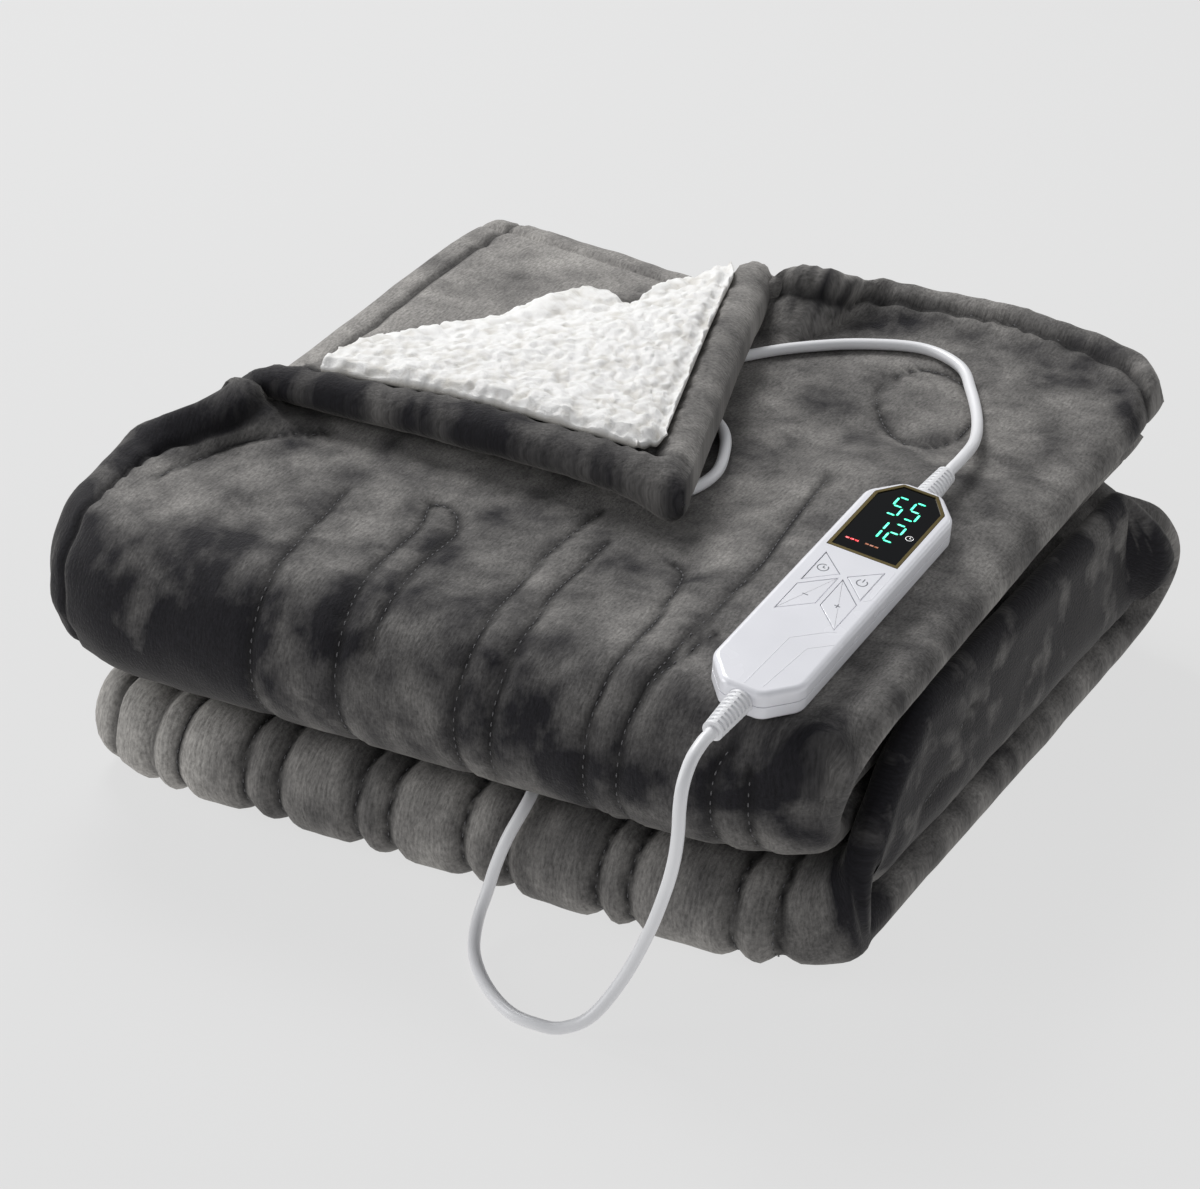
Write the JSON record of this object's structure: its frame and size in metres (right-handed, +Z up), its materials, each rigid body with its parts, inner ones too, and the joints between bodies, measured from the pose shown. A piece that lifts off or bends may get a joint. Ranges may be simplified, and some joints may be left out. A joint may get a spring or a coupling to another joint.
{
  "type": "electric heated blanket",
  "caption": "Folded charcoal electric throw with a turned-over sherpa corner, a hand controller lying on it and a coiled mains lead.",
  "frame": {"origin": "on the flat underside, under the middle of the plies, on the surface it rests on", "axes": "+Z up, +X to the right along the front rolls, +Y to the back"},
  "size_m": [0.5233, 0.6133, 0.1888],
  "materials": {
    "flannel": "crushed plush pile",
    "sherpa": "curly pile",
    "white_plastic": "gloss",
    "window": "gloss",
    "cord": "satin",
    "tie": "satin",
    "pin": "polished"
  },
  "bodies": {
    "root": {"blanket_cloth": "flannel", "sherpa_lining": "sherpa", "blanket_connector": "white_plastic", "controller_lower_shell": "white_plastic", "controller_upper_shell": "white_plastic", "display_window": "window", "relief_blanket_end": "white_plastic", "relief_mains_end": "white_plastic", "control_cord": "cord", "mains_cord": "cord", "mains_cord_tail": "cord", "cord_coil": "cord", "coil_tie": "tie", "plug_body": "white_plastic", "plug_pin_1": "pin", "plug_pin_2": "pin"},
    "key_timer": {"key_timer": "white_plastic"},
    "key_power": {"key_power": "white_plastic"},
    "key_minus": {"key_minus": "white_plastic"},
    "key_plus": {"key_plus": "white_plastic"}
  },
  "joints": [
    {"name": "key_timer_press", "type": "slide", "parent": "root", "child": "key_timer", "axis": [-0.0865, 0.0566, -0.9946], "range_m": [0, 0.0008], "stiffness_N_per_m": 1500},
    {"name": "key_power_press", "type": "slide", "parent": "root", "child": "key_power", "axis": [-0.0865, 0.0566, -0.9946], "range_m": [0, 0.0008], "stiffness_N_per_m": 1500},
    {"name": "key_minus_press", "type": "slide", "parent": "root", "child": "key_minus", "axis": [-0.0865, 0.0566, -0.9946], "range_m": [0, 0.0008], "stiffness_N_per_m": 1500},
    {"name": "key_plus_press", "type": "slide", "parent": "root", "child": "key_plus", "axis": [-0.0865, 0.0566, -0.9946], "range_m": [0, 0.0008], "stiffness_N_per_m": 1500}
  ]
}
